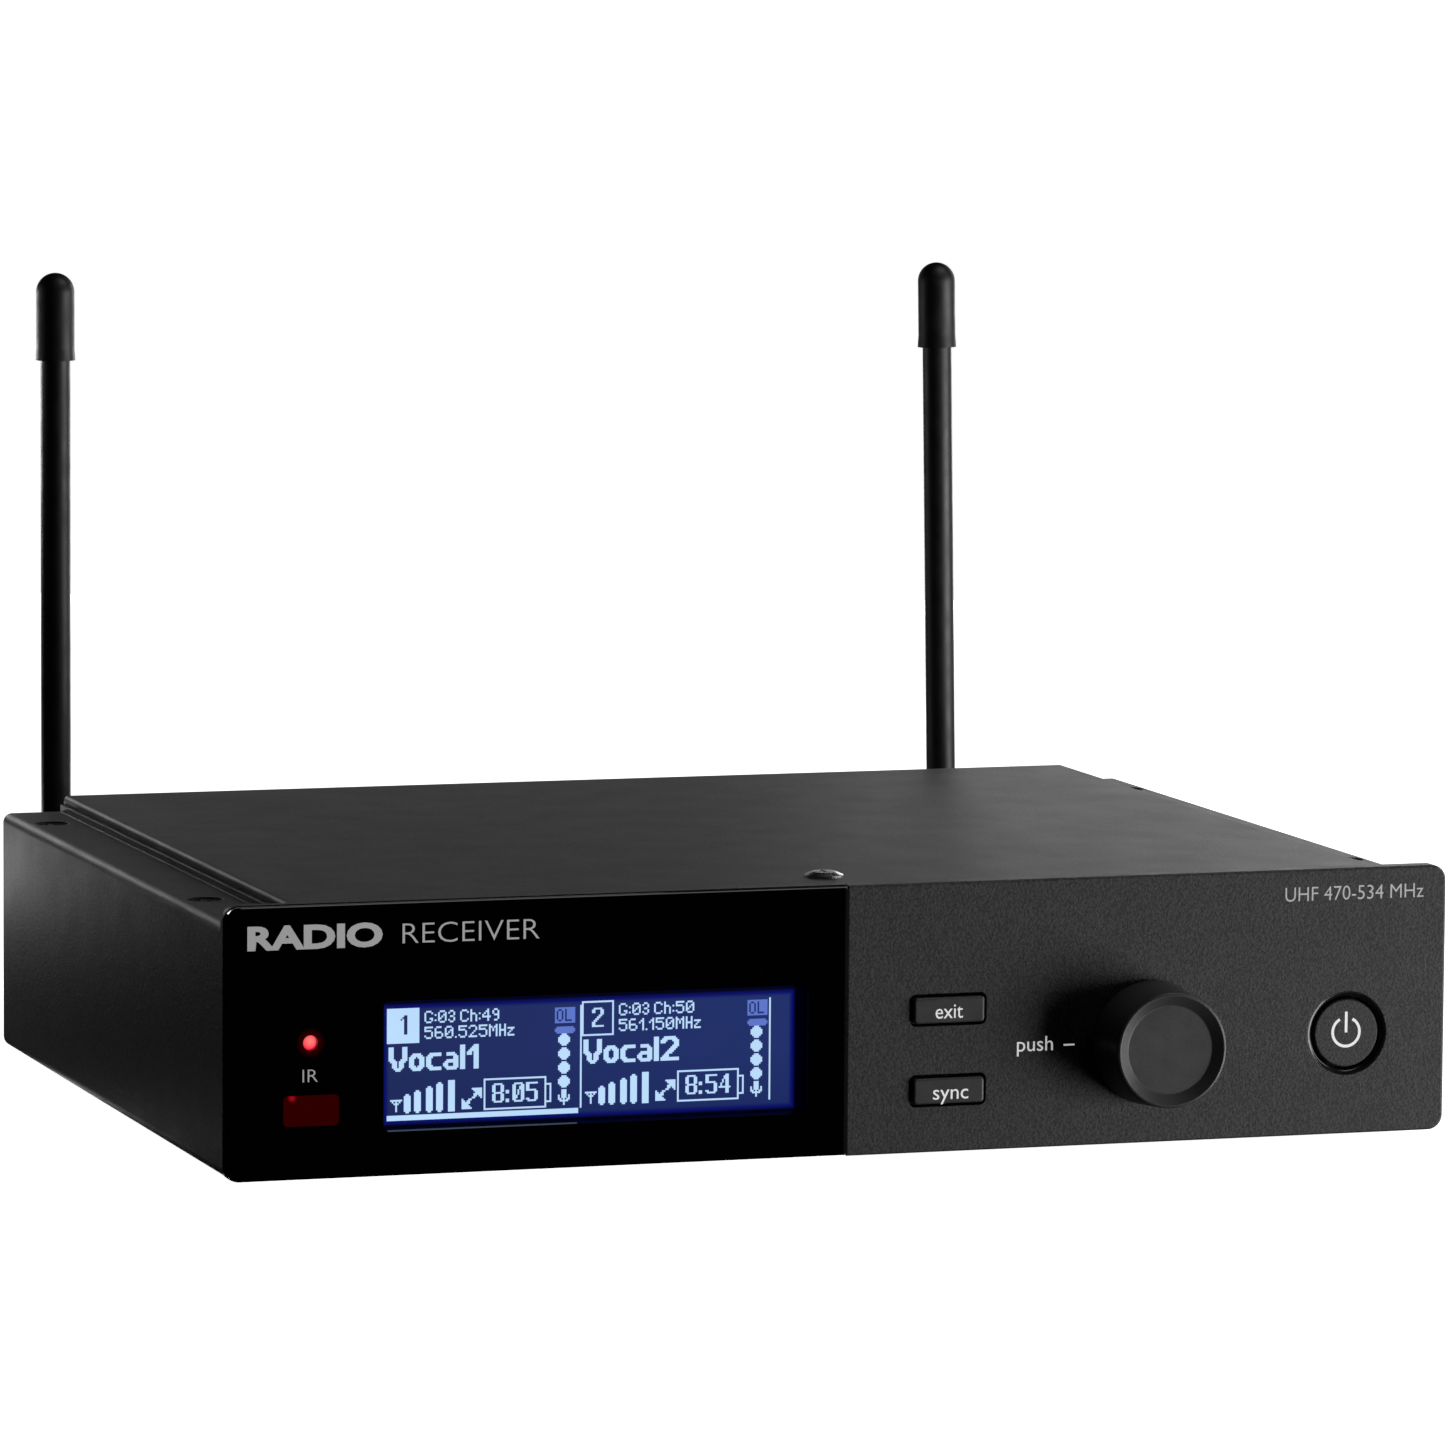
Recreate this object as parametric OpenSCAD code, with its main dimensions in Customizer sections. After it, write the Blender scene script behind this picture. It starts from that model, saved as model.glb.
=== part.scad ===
// Half-rack dual wireless receiver with two swivelling whip antennas.
// Design frame: X across the front panel, Y back from the panel's front face, Z up from the
// panel's lower edge. place() moves the whole design so that the origin is under its middle.

/* [Front panel] */
// Width of the front panel
panel_w = 197; // [190:1:204]
// Height of the front panel
panel_h = 41.8; // [41:0.1:44]
// Thickness of the front panel
panel_t = 3; // [2.6:0.1:3.6]
// Corner radius of the front panel, seen from the front
panel_r = 2.4; // [2:0.1:4]
// Rounding of the panel's front edge
panel_edge = 0.4; // [0.3:0.05:1]

/* [Case] */
// Depth from the panel's front face to the rear panel
body_d = 144; // [140:1:156]
// Thickness of the folded steel
sheet = 1.2; // [1:0.1:1.4]
// Gap between the panel's edge and the tray's side
side_inset = 0.2; // [0.2:0.1:0.8]
// Width of the low ledge along each side of the lid
ledge_w = 9.7; // [9:0.1:12]
// Height of the lid above the ledges
lid_step = 2.6; // [2.4:0.1:3]
// Spacing of the threaded inserts, left to right
insert_span_x = 187.6; // [187:0.1:188.4]
// Spacing of the threaded inserts, front to back
insert_span_y = 98.5; // [90:0.5:104]
// Distance of the front inserts behind the panel's front face
insert_front = 30; // [24:1:34]
// Radius of the hole in each threaded insert
insert_r = 2.4; // [2:0.1:2.5]
// Height of the rubber feet below the front panel
foot_h = 1.2; // [1:0.1:2]

/* [Display] */
// Width of the display window
window_w = 67.4; // [60:0.2:70]
// Height of the display window
window_h = 19.8; // [18:0.2:21]

/* [Controls] */
// Length of the small push buttons' caps
key_w = 11.5; // [11:0.1:12]
// Height of the small push buttons' caps
key_h = 4; // [3.6:0.1:4.4]
// Travel of the push buttons
key_travel = 0.5; // [0.3:0.1:0.5]
// Distance of the knob's front rim from the panel
knob_out = 10; // [9:0.5:12]
// Radius of the knob at its base
knob_r = 9.7; // [9:0.1:10]
// Radius of the power button's cap
power_r = 5.35; // [5:0.05:5.4]

/* [Antennas] */
// Distance of the antenna rods behind the panel's front face
rod_y = 170; // [169:1:174]
// Radius of an antenna rod
rod_r = 2.5; // [2:0.1:2.8]
// Height of the tips above the panel's lower edge
tip_z = 126.6; // [100:1:150]
// Lean of the right antenna towards the right end, in degrees
lean_right = -1.1; // [-3:0.1:3]

/* [Hidden] */
$fn = 64;
eps = 0.01;

// overall placing
elbow_r = 5.2;
rear_y = rod_y + elbow_r;
y_mid = (rear_y - knob_out) / 2;

// case section: heights above the panel's lower edge
tray_z = 0.3;
lid_top = panel_h - 0.1;
ledge_z = lid_top - lid_step;
lid_t = 1.4;
rim_z = lid_top - lid_t - 0.05;
tray_half = panel_w / 2 - side_inset;
rim_half = tray_half - ledge_w;
lid_half = rim_half - 0.6;
flange_half = rim_half - 7;
bend_top = 1.5;
bend_low = 1.8;
rear_plate_y = body_d - sheet;
lid_screw_y = 12.4;
insert_collar = insert_r + 0.35;

// display, status light and infrared window
window_x = -40.2;
window_z = 16.8;
lens_edge = 0.35;
lens_inset = 0.12;
lens_gap = 0.16;
lens_t = 1.4;
pocket_t = 1.5;
boundary_x = -0.1;
led_x = -85.3;
led_z = 20.9;
led_r = 1.1;
ir_x = -85.15;
ir_z = 10.6;
ir_w = 8.6;
ir_h = 4.6;

// controls
key_x = 16.1;
exit_z = 22.1;
sync_z = 9.6;
key_gap = 0.5;
key_proud = 0.75;
stem_r = 1.5;
stem_end = 6.3;
knob_x = 49.2;
knob_z = 15.8;
knob_gap = 0.8;
power_x = 82.1;
power_z = 15.85;
power_ring_r = 6.6;
power_bore_r = 5.7;
lip_r = power_ring_r - power_bore_r;
shaft_r = 3;
run = 0.05;
bushing_r = 3.5;

// circuit boards and screws
ui_y = 8.2;
pcb_t = 1.6;
pcb_z = 7;
pcb_top = pcb_z + pcb_t;
boss_spots = [for (x = [-92, 1.5, 92]) for (z = [5, 33]) [x, z]];
standoff_spots = [for (x = [-86, 24, 86]) for (y = [22, 112]) [x, y]];
foot_spots = [for (x = [-76, 76]) for (y = [26, 122]) [x, y]];
corner_screws = [for (x = [-94.2, 94.2]) for (z = [7, 31]) [x, z]];

// rear connectors
xlr_x = [-53, -12];
trs_x = [-32.5, 8.5];
ethernet_x = 28;
dc_x = 49;
xlr_z = 22;
trs_z = 16.5;
xlr_r = 9.4;
xlr_shell_r = 11;
xlr_depth = 14;
xlr_hole_x = 9.5;
xlr_hole_z = 12;
trs_r = 3.25;
trs_bush_r = 4.7;
ethernet_w = 15.9;
ethernet_h = 13.3;

// antenna connectors
bnc_x = [-83, 75.2];
bnc_z = 21;
thread_r = 6.3;
barrel_r = 4.8;
barrel_end = 157.5;
lug_y = 155;
lug_r = 5.95;
ring_front = 148.5;
ring_end = 162;
neck_r = 4.5;
cap_base_z = 112;

// moves the design frame to the part's own frame
module place() {
    translate([0, -y_mid, foot_h]) children();
}

// a cylinder along Y from y0 to y1
module bar_y(r, y0, y1, x = 0, z = 0) {
    translate([x, y1, z]) rotate([90, 0, 0]) cylinder(r = r, h = y1 - y0);
}

// a block between two corners
module block(low, high) {
    translate(low) cube(high - low);
}

// a rounded rectangle from true arcs, centred
module rounded(w, h, r) {
    square([w - 2 * r, h], center = true);
    square([w, h - 2 * r], center = true);
    for (x = [-1, 1]) for (z = [-1, 1])
        translate([x * (w / 2 - r), z * (h / 2 - r)]) circle(r = r);
}

// a plate in the XZ plane from y0 to y1 with an outline given as children
module plate_y(y0, y1, x = 0, z = 0) {
    translate([x, y1, z]) rotate([90, 0, 0]) linear_extrude(height = y1 - y0) children();
}

// a rounded plate whose front edge, at y0, is rounded by edge
module soft_plate(w, h, r, edge, y0, y1, x = 0, z = 0) {
    steps = 4;
    hull() {
        plate_y(y1 - eps, y1, x, z) rounded(w, h, r, $fn = 40);
        for (i = [0:steps]) {
            a = 90 * i / steps;
            cut = edge * (1 - sin(a));
            y = y0 + edge * (1 - cos(a));
            plate_y(y, y + eps, x, z) rounded(w - 2 * cut, h - 2 * cut, r - cut, $fn = 40);
        }
    }
}

// a pan-head screw along Y whose head's underside is at y, pointing to -Y
module screw_y(x, y, z, head_r, head_t, shank_r, length) {
    translate([x, y, z]) rotate([-90, 0, 0]) difference() {
        union() {
            rotate_extrude() polygon([
                [0, 0], [head_r, 0], [head_r, head_t * 0.4],
                [head_r * 0.62, head_t], [0, head_t]
            ]);
            translate([0, 0, -length]) cylinder(r = shank_r, h = length + eps);
        }
        cross_recess(head_r, head_t);
    }
}

// the cross in a screw's head, down from its top
module cross_recess(head_r, head_t) {
    for (turn = [0, 90]) rotate([0, 0, turn])
        translate([-head_r * 0.5, -head_r * 0.1, head_t * 0.45])
            cube([head_r, head_r * 0.2, head_t]);
}

// half of the tray's section: bottom, side, ledge and the raised rim that carries the lid
module tray_section() {
    inner_low = bend_low - sheet;
    inner_top = bend_top - sheet;
    translate([0, tray_z]) square([tray_half - bend_low, sheet]);
    translate([tray_half - sheet, tray_z + bend_low])
        square([sheet, ledge_z - tray_z - bend_low - bend_top]);
    translate([rim_half - sheet, ledge_z - sheet])
        square([ledge_w + sheet - bend_top, sheet]);
    corner_arc(tray_half - bend_low, tray_z + bend_low, bend_low, inner_low, -1);
    corner_arc(tray_half - bend_top, ledge_z - bend_top, bend_top, inner_top, 1);
    translate([rim_half - sheet, ledge_z - sheet]) square([sheet, rim_z - ledge_z + sheet]);
    translate([flange_half, rim_z - sheet]) square([rim_half - flange_half, sheet]);
}

// a quarter ring at the outer bend of the folded sheet; up is 1 for the top bend
module corner_arc(x, z, outer, inner, up) {
    translate([x, z]) scale([1, up]) intersection() {
        difference() {
            circle(r = outer);
            circle(r = inner);
        }
        square(outer);
    }
}

module chassis_tray() {
    color([0.12, 0.12, 0.125]) difference() {
        union() {
            for (side = [0, 1]) mirror([side, 0, 0])
                plate_y(panel_t + 0.05, body_d) tray_section();
            for (side = [-1, 1]) rear_flange(side);
        }
        for (side = [-1, 1]) for (y = [0, insert_span_y])
            translate([side * insert_span_x / 2, insert_front + y, ledge_z - 2 * sheet])
                cylinder(r = insert_collar, h = 4 * sheet);
        for (p = corner_screws) bar_y(1.3, rear_plate_y - 4, body_d, p[0], p[1]);
    }
}

// a folded flange behind the rear panel's edge
module rear_flange(side) {
    wide = 5;
    y1 = rear_plate_y - 0.05;
    x0 = side * (tray_half - sheet / 2);
    x1 = side * (tray_half - sheet - wide);
    block([min(x0, x1), y1 - sheet, tray_z + sheet / 2],
          [max(x0, x1), y1, ledge_z - sheet / 2]);
}

module top_cover() {
    edge = 0.8;
    color([0.12, 0.12, 0.125]) difference() {
        plate_y(panel_t + 0.05, body_d) intersection() {
            translate([0, lid_top - lid_t]) rounded(2 * lid_half, 2 * lid_t, edge);
            translate([-lid_half, lid_top - lid_t]) square([2 * lid_half, lid_t]);
        }
        translate([0, lid_screw_y, lid_top - 2 * lid_t]) cylinder(r = 1.7, h = 3 * lid_t);
    }
}

// a cross rail between the two rims, which the lid's screw fastens to
module front_rail() {
    color("silver") difference() {
        block([-flange_half + 0.1, 8, rim_z - sheet], [flange_half - 0.1, 17, rim_z]);
        translate([0, lid_screw_y, rim_z - 2 * sheet]) cylinder(r = 1.35, h = 3 * sheet);
    }
}

module cover_screw() {
    color("silver") translate([0, 0, lid_top]) rotate([90, 0, 0])
        screw_y(0, 0, -lid_screw_y, 3, 0.8, 1.35, lid_t + 2 * sheet);
}

module rear_panel() {
    low = tray_z + sheet + 0.1;
    wide = tray_half - sheet - 0.1;
    color([0.12, 0.12, 0.125]) difference() {
        union() {
            block([-wide, rear_plate_y, low], [wide, body_d, ledge_z - sheet - 0.1]);
            block([-flange_half + 0.1, rear_plate_y, low],
                  [flange_half - 0.1, body_d, rim_z]);
        }
        for (x = bnc_x) bar_y(thread_r + 0.1, 140, 146, x, bnc_z);
        for (x = xlr_x) {
            bar_y(xlr_shell_r + 0.2, 140, 146, x, xlr_z);
            for (side = [-1, 1])
                bar_y(1.3, 140, 146, x + side * xlr_hole_x, xlr_z + side * xlr_hole_z);
        }
        for (x = trs_x) bar_y(trs_bush_r + 0.1, 140, 146, x, trs_z);
        block([ethernet_x - ethernet_w / 2 - 0.1, 140, pcb_top - 0.1],
              [ethernet_x + ethernet_w / 2 + 0.1, 146, pcb_top + ethernet_h + 0.1]);
        bar_y(5.1, 140, 146, dc_x, trs_z - 1);
        for (p = corner_screws) bar_y(1.3, 140, 146, p[0], p[1]);
    }
}

module rear_screws() {
    color("dimgray") {
        for (p = corner_screws) screw_y(p[0], body_d, p[1], 2.5, 1.3, 1.3, 4);
        for (x = xlr_x) for (side = [-1, 1])
            screw_y(x + side * xlr_hole_x, body_d + 1.4, xlr_z + side * xlr_hole_z,
                    2.2, 1.1, 1.3, 5);
    }
}

// threaded inserts: a collar in each ledge hole and a wider nut below it
module ledge_inserts() {
    nut_r = insert_r + 0.55;
    nut_h = 3;
    color("gainsboro") for (side = [-1, 1]) for (y = [0, insert_span_y])
        translate([side * (insert_span_x / 2), insert_front + y, ledge_z - 2 * sheet])
            difference() {
                union() {
                    translate([0, 0, -nut_h]) cylinder(r = nut_r, h = nut_h);
                    cylinder(r = insert_collar, h = 2 * sheet - 0.25);
                }
                translate([0, 0, -nut_h - 1]) cylinder(r = insert_r, h = nut_h + 4);
            }
}

module rubber_feet() {
    color([0.05, 0.05, 0.05]) for (p = foot_spots) translate([p[0], p[1], -foot_h])
        rotate_extrude() polygon([
            [0, 0], [4.6, 0], [5, 0.4], [5, foot_h + tray_z], [0, foot_h + tray_z]
        ]);
}

module front_bezel() {
    mid_z = panel_h / 2;
    color([0.13, 0.13, 0.135]) difference() {
        union() {
            soft_plate(panel_w, panel_h, panel_r, panel_edge, 0, panel_t, 0, mid_z);
            for (p = boss_spots) bar_y(3, panel_t - eps, ui_y, p[0], p[1]);
        }
        block([-panel_w / 2 - 1, -1, -1], [boundary_x, pocket_t, panel_h + 1]);
        plate_y(-1, 4, window_x, window_z - 0.3) square([71.6, 24.3], center = true);
        bar_y(led_r + 0.3, 0, 4, led_x, led_z);
        plate_y(0, 4, ir_x, ir_z) square([6.4, 3], center = true);
        for (z = [exit_z, sync_z])
            plate_y(-1, 4, key_x, z) rounded(key_w + 2 * key_gap, key_h + 2 * key_gap, 1);
        bar_y(bushing_r + 0.1, -1, 4, knob_x, knob_z);
        bar_y(power_ring_r, -1, 4, power_x, power_z);
        for (p = boss_spots) bar_y(1.2, panel_t + 1, 9, p[0], p[1]);
    }
}

// the lens's outline: round corners at the panel's end, square at the panel's middle
module lens_outline(w, h, r) {
    rounded(w, h, r);
    translate([0, -h / 2]) square([w / 2, h]);
}

module display_lens() {
    mid_z = panel_h / 2;
    left = -panel_w / 2 + lens_inset;
    right = boundary_x - lens_gap;
    w = right - left;
    h = panel_h - 2 * lens_inset;
    r = panel_r - lens_inset;
    x = (left + right) / 2;
    steps = 3;
    color([0.01, 0.01, 0.012]) difference() {
        hull() {
            plate_y(lens_t, lens_t + eps, x, mid_z) lens_outline(w, h, r, $fn = 40);
            for (i = [0:steps]) {
                a = 90 * i / steps;
                cut = lens_edge * (1 - sin(a));
                y = lens_edge * (1 - cos(a));
                plate_y(y, y + eps, x, mid_z)
                    lens_outline(w - 2 * cut, h - 2 * cut, r - cut, $fn = 40);
            }
        }
        hull() {
            plate_y(-eps, 0, window_x, window_z) rounded(window_w, window_h, 0.8, $fn = 32);
            plate_y(lens_t, lens_t + 0.1, window_x, window_z)
                rounded(window_w - 1, window_h - 1, 0.3, $fn = 32);
        }
        bar_y(led_r + 0.05, -1, 3, led_x, led_z);
        plate_y(-1, 3, ir_x, ir_z) rounded(ir_w + 0.1, ir_h + 0.1, 0.75);
    }
}

module lcd_glass() {
    color([0.25, 0.3, 0.65]) plate_y(1.6, 2.9, window_x, window_z - 0.3)
        square([70.8, 23.5], center = true);
}

module lcd_backlight() {
    color("lavender") plate_y(3, 5.6, window_x, window_z - 0.3)
        square([69.6, 22.4], center = true);
}

module lcd_frame() {
    color("silver") difference() {
        plate_y(3.1, 6.4, window_x, window_z - 0.3) square([73.4, 25.6], center = true);
        plate_y(3, 5.7, window_x, window_z - 0.3) square([70, 22.8], center = true);
    }
}

module status_led() {
    color("red") translate([led_x, 0, led_z]) rotate([-90, 0, 0]) rotate_extrude() polygon([
        [0, 0.1], [led_r * 0.7, 0.25], [led_r, 0.7], [led_r, 3.2],
        [led_r + 0.6, 3.2], [led_r + 0.6, ui_y], [0, ui_y]
    ]);
}

module ir_window() {
    color([0.35, 0.02, 0.03]) {
        plate_y(0.05, lens_t, ir_x, ir_z) rounded(ir_w, ir_h, 0.7);
        plate_y(lens_t - eps, 4.2, ir_x, ir_z) square([6, 2.6], center = true);
    }
}

module power_ring() {
    color([0.03, 0.03, 0.03]) translate([power_x, 0, power_z]) rotate([-90, 0, 0])
        rotate_extrude() {
            intersection() {
                translate([power_ring_r, lip_r + 0.05]) circle(r = lip_r);
                translate([power_bore_r, 0]) square([lip_r, lip_r + 0.05]);
            }
            translate([power_bore_r, lip_r + 0.05 - eps])
                square([lip_r, panel_t - lip_r - 0.05 + eps]);
        }
}

module ui_pcb() {
    color("darkgreen") difference() {
        union() {
            block([-94, ui_y, 2.4], [94, ui_y + pcb_t, 36.5]);
            block([-12, ui_y + pcb_t - eps, 20], [12, ui_y + pcb_t + 2.4, 24.4]);
        }
        for (p = boss_spots) bar_y(1.3, 8, 11, p[0], p[1]);
    }
}

module bezel_screws() {
    color("dimgray") for (p = boss_spots)
        screw_y(p[0], ui_y + pcb_t, p[1], 2.4, 1.2, 1.15, 5.6);
}

// a square switch housing with a blind hole for the button's stem
module switch_housing(x, z, size) {
    difference() {
        block([x - size / 2, 5, z - size / 2], [x + size / 2, ui_y, z + size / 2]);
        bar_y(stem_r + 0.3, 4, stem_end + key_travel + 0.6, x, z);
    }
}

module tact_switches() {
    color([0.2, 0.2, 0.2]) for (z = [exit_z, sync_z]) switch_housing(key_x, z, 6);
}

module power_switch() {
    color([0.2, 0.2, 0.2]) switch_housing(power_x, power_z, 8);
}

// a small push button: cap, flange behind the panel and stem
module push_key(z) {
    color([0.1, 0.1, 0.105]) {
        soft_plate(key_w, key_h, 0.6, 0.35, -key_proud, panel_t + 0.1, key_x, z);
        block([key_x - 6.7, panel_t + 0.05, z - 3.1], [key_x + 6.7, panel_t + 0.85, z + 3.1]);
        bar_y(stem_r, panel_t + 0.8, stem_end, key_x, z);
    }
}

module exit_button() {
    push_key(exit_z);
}

module sync_button() {
    push_key(sync_z);
}

module power_button() {
    front = 0.3;
    edge = 0.2;
    color([0.13, 0.13, 0.135]) translate([power_x, 0, power_z]) rotate([-90, 0, 0])
        rotate_extrude() polygon([
            [0, front], [power_r - edge, front], [power_r, front + edge],
            [power_r, panel_t + 0.05], [power_r + 0.8, panel_t + 0.05],
            [power_r + 0.8, panel_t + 0.9], [stem_r, panel_t + 0.9], [stem_r, stem_end],
            [0, stem_end]
        ]);
}

module encoder_body() {
    half = 5.85;
    color("gray") difference() {
        union() {
            block([knob_x - half, panel_t + 0.2, knob_z - half],
                  [knob_x + half, ui_y, knob_z + half]);
            bar_y(bushing_r, -2.6, panel_t + 0.3, knob_x, knob_z);
        }
        bar_y(shaft_r + run, -3, 5, knob_x, knob_z);
        bar_y(4.6, 4.4, 6.8, knob_x, knob_z);
        bar_y(3.4, 6.7, 7.9, knob_x, knob_z);
    }
}

module encoder_nut() {
    color("silver") difference() {
        translate([knob_x, -0.05, knob_z]) rotate([90, 0, 0]) cylinder(r = 5.8, h = 1.9, $fn = 6);
        bar_y(bushing_r + run, -3, 1, knob_x, knob_z);
    }
}

// a round shaft section with one flat, cut at flat above the axis
module d_section(r, flat) {
    intersection() {
        circle(r = r);
        translate([-2 * r, -2 * r]) square([4 * r, 2 * r + flat]);
    }
}

module encoder_rotor() {
    color("gainsboro") difference() {
        bar_y(4.3, 4.7, 6.5, knob_x, knob_z);
        plate_y(4, 7, knob_x, knob_z) d_section(shaft_r + run, 2.3);
    }
}

module encoder_shaft() {
    color("silver") {
        bar_y(shaft_r, -3.2, 4, knob_x, knob_z);
        plate_y(-knob_out + 2, -3.2 + eps, knob_x, knob_z) d_section(shaft_r, 2.25);
        plate_y(4 - eps, 7.2, knob_x, knob_z) d_section(shaft_r, 2.25);
    }
}

module control_knob() {
    front = knob_out;
    rim_r = knob_r - 0.7;
    dish_r = 6.9;
    hub_r = 5;
    wall_r = 7.4;
    color([0.1, 0.1, 0.105]) difference() {
        union() {
            translate([knob_x, 0, knob_z]) rotate([90, 0, 0]) rotate_extrude() polygon([
                [0, front - 3], [wall_r, front - 3], [wall_r, knob_gap],
                [knob_r - 0.1, knob_gap], [knob_r, knob_gap + 0.1], [rim_r, front - 0.4],
                [rim_r - 0.12, front - 0.12], [rim_r - 0.4, front], [rim_r - 0.5, front],
                [dish_r, front - 1], [0, front - 1]
            ]);
            bar_y(hub_r, -front + 2.9, -3.4, knob_x, knob_z);
        }
        plate_y(-front + 2, -3, knob_x, knob_z) d_section(shaft_r, 2.25);
    }
}

module main_pcb() {
    color("darkgreen") difference() {
        union() {
            block([-92, 14, pcb_z], [92, 139, pcb_top]);
            block([-12, 22, pcb_top - eps], [12, 26.5, pcb_top + 2.4]);
        }
        for (p = standoff_spots) translate([p[0], p[1], pcb_z - 1]) cylinder(r = 1.6, h = 4);
    }
}

// an open-bottomed shield can on the main board
module shield(x) {
    wall = 0.5;
    low = [x - 26, 42, pcb_top];
    high = [x + 26, 96, pcb_top + 6];
    color("silver") difference() {
        block(low, high);
        block(low + [wall, wall, -1], high - [wall, wall, wall]);
    }
}

module rf_shield_left() {
    shield(-50);
}

module rf_shield_right() {
    shield(38);
}

module main_chip() {
    color([0.1, 0.1, 0.1]) block([-14, 70, pcb_top], [2, 86, pcb_top + 1.4]);
}

// a flat cable that drops from the rear of the control board to the main board
module ribbon_cable() {
    t = 0.3;
    y0 = ui_y + pcb_t + 2.4;
    z0 = 22.2;
    y1 = 24.3;
    bend = 4;
    z1 = pcb_top + 2.4;
    color("white") translate([-9, 0, 0]) rotate([90, 0, 90]) linear_extrude(height = 18) {
        translate([y0, z0 - t / 2]) square([y1 - bend - y0, t]);
        translate([y1 - t / 2, z1]) square([t, z0 - bend - z1]);
        translate([y1 - bend, z0 - bend]) intersection() {
            difference() {
                circle(r = bend + t / 2);
                circle(r = bend - t / 2);
            }
            square(2 * bend);
        }
    }
}

module pcb_standoffs() {
    color("silver") for (p = standoff_spots)
        translate([p[0], p[1], tray_z + sheet]) difference() {
            cylinder(r = 2.8, h = pcb_z - tray_z - sheet);
            translate([0, 0, 1]) cylinder(r = 1.5, h = pcb_z);
        }
}

module pcb_screws() {
    color("silver") for (p = standoff_spots)
        translate([0, 0, pcb_top]) rotate([90, 0, 0])
            screw_y(p[0], 0, -p[1], 2.8, 1.6, 1.5, 5);
}

// a male XLR outlet: flange, round shell and the floor that the pins stand on
module xlr_shell(x) {
    floor_t = 5;
    back = body_d - xlr_depth - floor_t + 1.4;
    color([0.08, 0.08, 0.08]) difference() {
        union() {
            plate_y(body_d, body_d + 1.4, x, xlr_z) rounded(25, 29, 3);
            bar_y(xlr_shell_r, back, body_d + 1.4, x, xlr_z);
            block([x - 8, back, pcb_top], [x + 8, back + floor_t, xlr_z]);
        }
        bar_y(xlr_r, body_d + 1.4 - xlr_depth, body_d + 3, x, xlr_z);
        for (side = [-1, 1])
            bar_y(1.3, body_d - 1, body_d + 3, x + side * xlr_hole_x, xlr_z + side * xlr_hole_z);
        for (a = [90, 210, 330]) xlr_pin(x, a);
    }
}

// one contact pin with a round end, at the angle a around the axis
module xlr_pin(x, a) {
    spread = 4.7;
    tip = body_d - 1;
    translate([x + spread * cos(a), 0, xlr_z - spread * sin(a)]) rotate([-90, 0, 0])
        rotate_extrude() polygon([
            [0, body_d - xlr_depth - 1], [1.2, body_d - xlr_depth - 1],
            [1.2, tip - 1], [0.7, tip - 0.2], [0, tip]
        ]);
}

module xlr_shell_1() {
    xlr_shell(xlr_x[0]);
}

module xlr_shell_2() {
    xlr_shell(xlr_x[1]);
}

module xlr_pins(x) {
    color("gold") for (a = [90, 210, 330]) xlr_pin(x, a);
}

module xlr_pins_1() {
    xlr_pins(xlr_x[0]);
}

module xlr_pins_2() {
    xlr_pins(xlr_x[1]);
}

// a quarter-inch jack socket: body, threaded bushing and a bore for the plug
module trs_jack(x) {
    length = 24;
    y0 = body_d - 1.25 - length;
    color([0.1, 0.1, 0.1]) difference() {
        union() {
            block([x - 7, y0, pcb_top], [x + 7, body_d - 1.25, trs_z + 7]);
            bar_y(trs_bush_r, body_d - 2, body_d + 3.4, x, trs_z);
        }
        bar_y(trs_r, y0 + 3, body_d + 5, x, trs_z);
    }
}

module trs_jack_1() {
    trs_jack(trs_x[0]);
}

module trs_jack_2() {
    trs_jack(trs_x[1]);
}

module trs_nuts() {
    color("silver") for (x = trs_x) difference() {
        translate([x, body_d + 2, trs_z]) rotate([90, 0, 0]) cylinder(r = 7, h = 2, $fn = 6);
        bar_y(trs_bush_r, body_d - 1, body_d + 4, x, trs_z);
    }
}

module ethernet_jack() {
    half = ethernet_w / 2;
    front = body_d + 0.3;
    color("silver") difference() {
        block([ethernet_x - half, front - 21, pcb_top],
              [ethernet_x + half, front, pcb_top + ethernet_h]);
        block([ethernet_x - 5.85, front - 13, pcb_top + 3.3],
              [ethernet_x + 5.85, front + 1, pcb_top + 10]);
        block([ethernet_x - 3, front - 9, pcb_top + 1.6],
              [ethernet_x + 3, front + 1, pcb_top + 3.4]);
    }
}

module dc_inlet() {
    z = trs_z - 1;
    front = body_d + 0.6;
    color([0.08, 0.08, 0.08]) {
        difference() {
            union() {
                block([dc_x - 5, front - 14, pcb_top], [dc_x + 5, body_d - 1.25, z + 5.5]);
                bar_y(5, body_d - 2, front, dc_x, z);
            }
            bar_y(2.8, front - 10, front + 1, dc_x, z);
        }
        bar_y(1, front - 10.5, front - 1, dc_x, z);
    }
}

// the fixed half of a bayonet antenna connector
module bnc_jack(x) {
    color("silver") difference() {
        union() {
            bar_y(7.4, 138, rear_plate_y - 0.05, x, bnc_z);
            bar_y(thread_r, 138, 146.9, x, bnc_z);
            bar_y(barrel_r, 146, barrel_end, x, bnc_z);
            translate([x, lug_y, bnc_z]) rotate([0, 90, 0])
                cylinder(r = 1, h = 2 * lug_r, center = true);
        }
        bar_y(4.15, 149, barrel_end + 1, x, bnc_z);
        bar_y(2.6, 137, 150, x, bnc_z);
    }
}

module bnc_jack_left() {
    bnc_jack(bnc_x[0]);
}

module bnc_jack_right() {
    bnc_jack(bnc_x[1]);
}

module bnc_insulator(x) {
    color("white") difference() {
        bar_y(2.6, 137, 155.5, x, bnc_z);
        bar_y(0.72, 147, 156, x, bnc_z);
    }
}

module bnc_insulator_left() {
    bnc_insulator(bnc_x[0]);
}

module bnc_insulator_right() {
    bnc_insulator(bnc_x[1]);
}

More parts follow.
